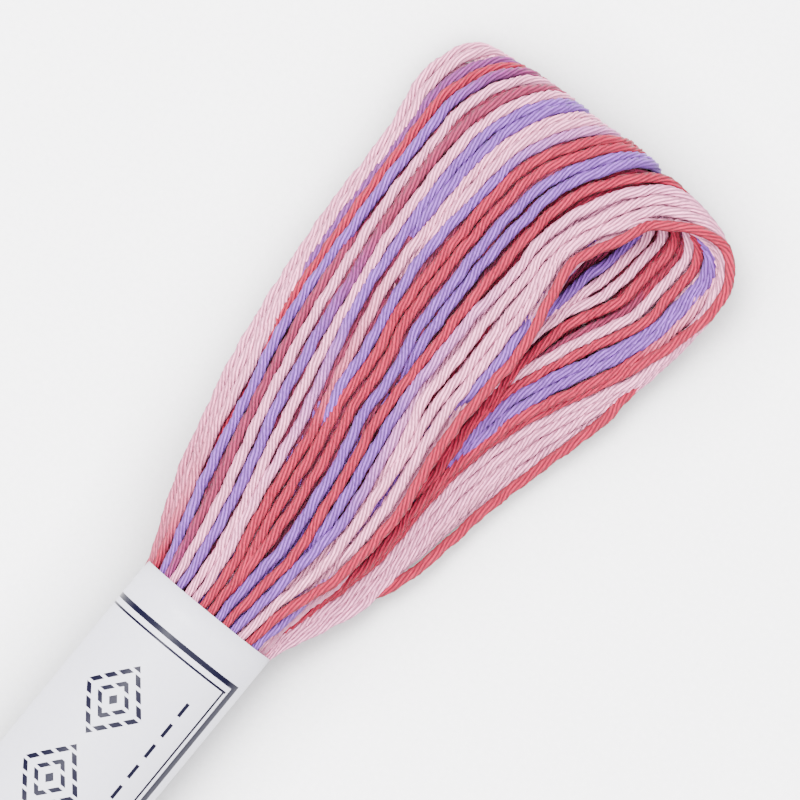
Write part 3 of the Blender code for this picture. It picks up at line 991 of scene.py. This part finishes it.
profile = []
half_height = (BAND_TOP + BAND_SINK) / 2.0
for step in range(ROLL_STEPS + 1):
    degrees = ROLL_FROM + ROLL_BY * step / ROLL_STEPS
    tuck = TUCK * min(max((TUCK_FROM - degrees) / TUCK_OVER, 0.0), 1.0)
    x = (BAND_HALF_WIDTH - tuck) * math.sin(math.radians(degrees))
    z = (BAND_TOP - BAND_SINK) / 2.0 + (half_height - tuck) * math.cos(math.radians(degrees))
    profile.append((x, max(z, tuck)))

band_shape = bmesh.new()
round_layer = band_shape.verts.layers.float.new("round")
start = [band_shape.verts.new(Vector((MIDDLE_LINE + x, PLAIN_MOUTH, z)) * MM) for x, z in profile]
lengths = [0.0]
for before, after in zip(profile, profile[1:]):
    lengths.append(lengths[-1] + math.dist(before, after))
crown = min(range(len(profile)), key=lambda index: abs(profile[index][0]) - profile[index][1])
for vertex, length in zip(start, lengths):
    vertex[round_layer] = length - lengths[crown]


def by_row(part):
    """Puts the strip's edges and faces in one order, row by row. The operator's own changes each run."""
    return sum(vertex.co.y / MM * 100.0 + vertex[round_layer] for vertex in part.verts) / len(part.verts)


edges = [band_shape.edges.new(pair) for pair in zip(start, start[1:])]
segment = (0.0, BAND_LENGTH / BAND_SEGMENTS * MM, 0.0)
for index in range(BAND_SEGMENTS):
    extruded = bmesh.ops.extrude_edge_only(band_shape, edges=edges)["geom"]
    moved = [part for part in extruded if isinstance(part, bmesh.types.BMVert)]
    new_edges = [part for part in extruded if isinstance(part, bmesh.types.BMEdge)]
    edges = [edge for edge in new_edges if all(vertex in moved for vertex in edge.verts)]
    bmesh.ops.translate(band_shape, verts=moved, vec=segment)
band_shape.edges.sort(key=by_row)
band_shape.faces.sort(key=by_row)
bmesh.ops.recalc_face_normals(band_shape, faces=band_shape.faces)
band_mesh = bpy.data.meshes.new("paper_wrap")
band_shape.to_mesh(band_mesh)
band_shape.free()
band_mesh.shade_smooth()

# Coated paper: bright, cool white, smooth and half glossy, with navy offset print. The print is
# drawn on the flat strip: the distance round the band from its crown, and the distance from its end.
paper, tree = new_material("coated_paper")
around = node(tree, "ShaderNodeAttribute", {"attribute_name": "round"}).outputs["Fac"]
spot = node(tree, "ShaderNodeTexCoord").outputs["Object"]
spot_parts = node(tree, "ShaderNodeSeparateXYZ", Vector=spot)
inward = node(
    tree,
    "ShaderNodeMath",
    {"operation": "MULTIPLY_ADD"},
    _0=spot_parts.outputs["Y"],
    _1=-1.0 / MM,
    _2=OPEN_MOUTH,
).outputs[0]

# The frame's edges, round the band from its crown and inwards from its end, then the half widths of
# its thick and thin rules across the band and along it, and how far in the thin ones' middles lie.
FRAME_LEFT, FRAME_RIGHT = -15.5, 6.75
FRAME_IN, FRAME_OUT = 3.24, BAND_LENGTH - 3.24
THICK_ACROSS, THICK_ALONG = 0.23, 0.36
THIN_INSET_ACROSS, THIN_ACROSS = 1.0, 0.1
THIN_INSET_ALONG, THIN_ALONG = 1.2, 0.12
INNER_GAP = 0.95
FRAME_MIDDLE, FRAME_HALF = (FRAME_LEFT + FRAME_RIGHT) / 2, (FRAME_RIGHT - FRAME_LEFT) / 2
BAND_MIDDLE, FRAME_HALF_LENGTH = BAND_LENGTH / 2, (FRAME_OUT - FRAME_IN) / 2
RULES = (
    (FRAME_MIDDLE, FRAME_HALF, FRAME_IN + THICK_ACROSS, THICK_ACROSS),
    (FRAME_MIDDLE, FRAME_HALF, FRAME_OUT - THICK_ACROSS, THICK_ACROSS),
    (FRAME_RIGHT - THICK_ALONG, THICK_ALONG, BAND_MIDDLE, FRAME_HALF_LENGTH),
    (FRAME_LEFT + THICK_ALONG, THICK_ALONG, BAND_MIDDLE, FRAME_HALF_LENGTH),
    (FRAME_MIDDLE, FRAME_HALF - INNER_GAP, FRAME_IN + THIN_INSET_ACROSS, THIN_ACROSS),
    (FRAME_MIDDLE, FRAME_HALF - INNER_GAP, FRAME_OUT - THIN_INSET_ACROSS, THIN_ACROSS),
    (FRAME_RIGHT - THIN_INSET_ALONG, THIN_ALONG, BAND_MIDDLE, FRAME_HALF_LENGTH - INNER_GAP),
    (FRAME_LEFT + THIN_INSET_ALONG, THIN_ALONG, BAND_MIDDLE, FRAME_HALF_LENGTH - INNER_GAP),
)
ink = None
for middle, half, far_middle, far_half in RULES:
    wide = node(tree, "ShaderNodeMath", {"operation": "COMPARE"}, _0=around, _1=middle, _2=half)
    both = node(tree, "ShaderNodeMath", {"operation": "COMPARE"}, _0=inward, _1=far_middle, _2=far_half)
    both = node(tree, "ShaderNodeMath", {"operation": "MULTIPLY"}, _0=wide.outputs[0], _1=both.outputs[0])
    if ink:
        both = node(tree, "ShaderNodeMath", {"operation": "MAXIMUM"}, _0=ink, _1=both.outputs[0])
    ink = both.outputs[0]

# A column of stitched diamonds, one inside the other, with their middles left of the crown. Each ring
# of stitches has its share of a whole diamond and its half width. The last is the one in the middle.
DIAMOND_PITCH = 8.0
DIAMOND_FROM = 6.2
DIAMOND_LEFT = 1.4
DIAMOND_HALF_WIDTH, DIAMOND_HALF_LENGTH = 2.7, 3.2
DIAMOND_RINGS = ((0.98, 0.1), (0.52, 0.09), (0.0, 0.16))
DASHES, DASH_HALF = 1.05, 0.36
cell_start = DIAMOND_FROM + DIAMOND_PITCH / 2
cell_half = DIAMOND_PITCH / 2
in_cell = node(tree, "ShaderNodeMath", {"operation": "SUBTRACT"}, _0=inward, _1=cell_start).outputs[0]
in_cell = node(tree, "ShaderNodeMath", {"operation": "WRAP"}, _0=in_cell, _1=cell_half, _2=-cell_half)
cell_far = node(tree, "ShaderNodeMath", {"operation": "ABSOLUTE"}, _0=in_cell.outputs[0]).outputs[0]
aside = node(tree, "ShaderNodeMath", {"operation": "ADD"}, _0=around, _1=DIAMOND_LEFT).outputs[0]
aside = node(tree, "ShaderNodeMath", {"operation": "ABSOLUTE"}, _0=aside).outputs[0]
aside = node(tree, "ShaderNodeMath", {"operation": "MULTIPLY"}, _0=aside, _1=1.0 / DIAMOND_HALF_WIDTH)
size_at = node(
    tree,
    "ShaderNodeMath",
    {"operation": "MULTIPLY_ADD"},
    _0=cell_far,
    _1=1.0 / DIAMOND_HALF_LENGTH,
    _2=aside.outputs[0],
)
dashes = node(tree, "ShaderNodeMath", {"operation": "MULTIPLY"}, _0=cell_far, _1=DASHES).outputs[0]
dashes = node(tree, "ShaderNodeMath", {"operation": "FRACT"}, _0=dashes).outputs[0]
dashes = node(tree, "ShaderNodeMath", {"operation": "COMPARE"}, _0=dashes, _1=0.5, _2=DASH_HALF)
column_half = BAND_MIDDLE - DIAMOND_FROM
column = node(
    tree, "ShaderNodeMath", {"operation": "COMPARE"}, _0=inward, _1=BAND_MIDDLE, _2=column_half
).outputs[0]
for share, half in DIAMOND_RINGS:
    ring = node(tree, "ShaderNodeMath", {"operation": "COMPARE"}, _0=size_at.outputs[0], _1=share, _2=half)
    if share:
        ring = node(
            tree, "ShaderNodeMath", {"operation": "MULTIPLY"}, _0=ring.outputs[0], _1=dashes.outputs[0]
        )
    ring = node(tree, "ShaderNodeMath", {"operation": "MULTIPLY"}, _0=ring.outputs[0], _1=column)
    ink = node(tree, "ShaderNodeMath", {"operation": "MAXIMUM"}, _0=ink, _1=ring.outputs[0]).outputs[0]

# A line of running stitches beside the diamonds, right of the crown.
STITCH_PITCH, STITCH_HALF = 2.1, 0.31
STITCH_RIGHT, STITCH_WIDTH = 3.6, 0.17
stitches = node(tree, "ShaderNodeMath", {"operation": "MULTIPLY"}, _0=inward, _1=1.0 / STITCH_PITCH)
stitches = node(tree, "ShaderNodeMath", {"operation": "FRACT"}, _0=stitches.outputs[0]).outputs[0]
stitches = node(tree, "ShaderNodeMath", {"operation": "COMPARE"}, _0=stitches, _1=0.5, _2=STITCH_HALF)
line = node(tree, "ShaderNodeMath", {"operation": "COMPARE"}, _0=around, _1=STITCH_RIGHT, _2=STITCH_WIDTH)
line = node(tree, "ShaderNodeMath", {"operation": "MULTIPLY"}, _0=line.outputs[0], _1=stitches.outputs[0])
line = node(tree, "ShaderNodeMath", {"operation": "MULTIPLY"}, _0=line.outputs[0], _1=column)
ink = node(tree, "ShaderNodeMath", {"operation": "MAXIMUM"}, _0=ink, _1=line.outputs[0]).outputs[0]

# The paper's pulp is a faint mottle about 0.4 mm across, which is 2500 to the metre.
PULP = 2500.0
pulp = node(tree, "ShaderNodeTexNoise", Vector=spot, Scale=PULP, Detail=3.0)
paper_colour = node(
    tree,
    "ShaderNodeMix",
    {"data_type": "RGBA"},
    Factor=pulp.outputs["Fac"],
    _6=linear("#BCBBC5"),
    _7=linear("#B4B3BE"),
)
printed = node(
    tree,
    "ShaderNodeMix",
    {"data_type": "RGBA"},
    Factor=ink,
    _6=paper_colour.outputs[2],
    _7=linear("#020118"),
)
relief = node(tree, "ShaderNodeBump", Strength=0.05, Distance=0.00005, Height=pulp.outputs["Fac"])
shader = node(
    tree,
    "ShaderNodeBsdfPrincipled",
    Base_Color=printed.outputs[2],
    Roughness=0.24,
    Specular_IOR_Level=0.12,
    Normal=relief.outputs["Normal"],
)
node(tree, "ShaderNodeOutputMaterial", Surface=shader.outputs["BSDF"])
band_mesh.materials.append(paper)
band = bpy.data.objects.new("paper_wrap", band_mesh)
bpy.context.collection.objects.link(band)
thickness = band.modifiers.new("thickness", "SOLIDIFY")
thickness.thickness = PAPER * MM
thickness.offset = -1.0
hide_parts("paper_band")
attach(band, "root")
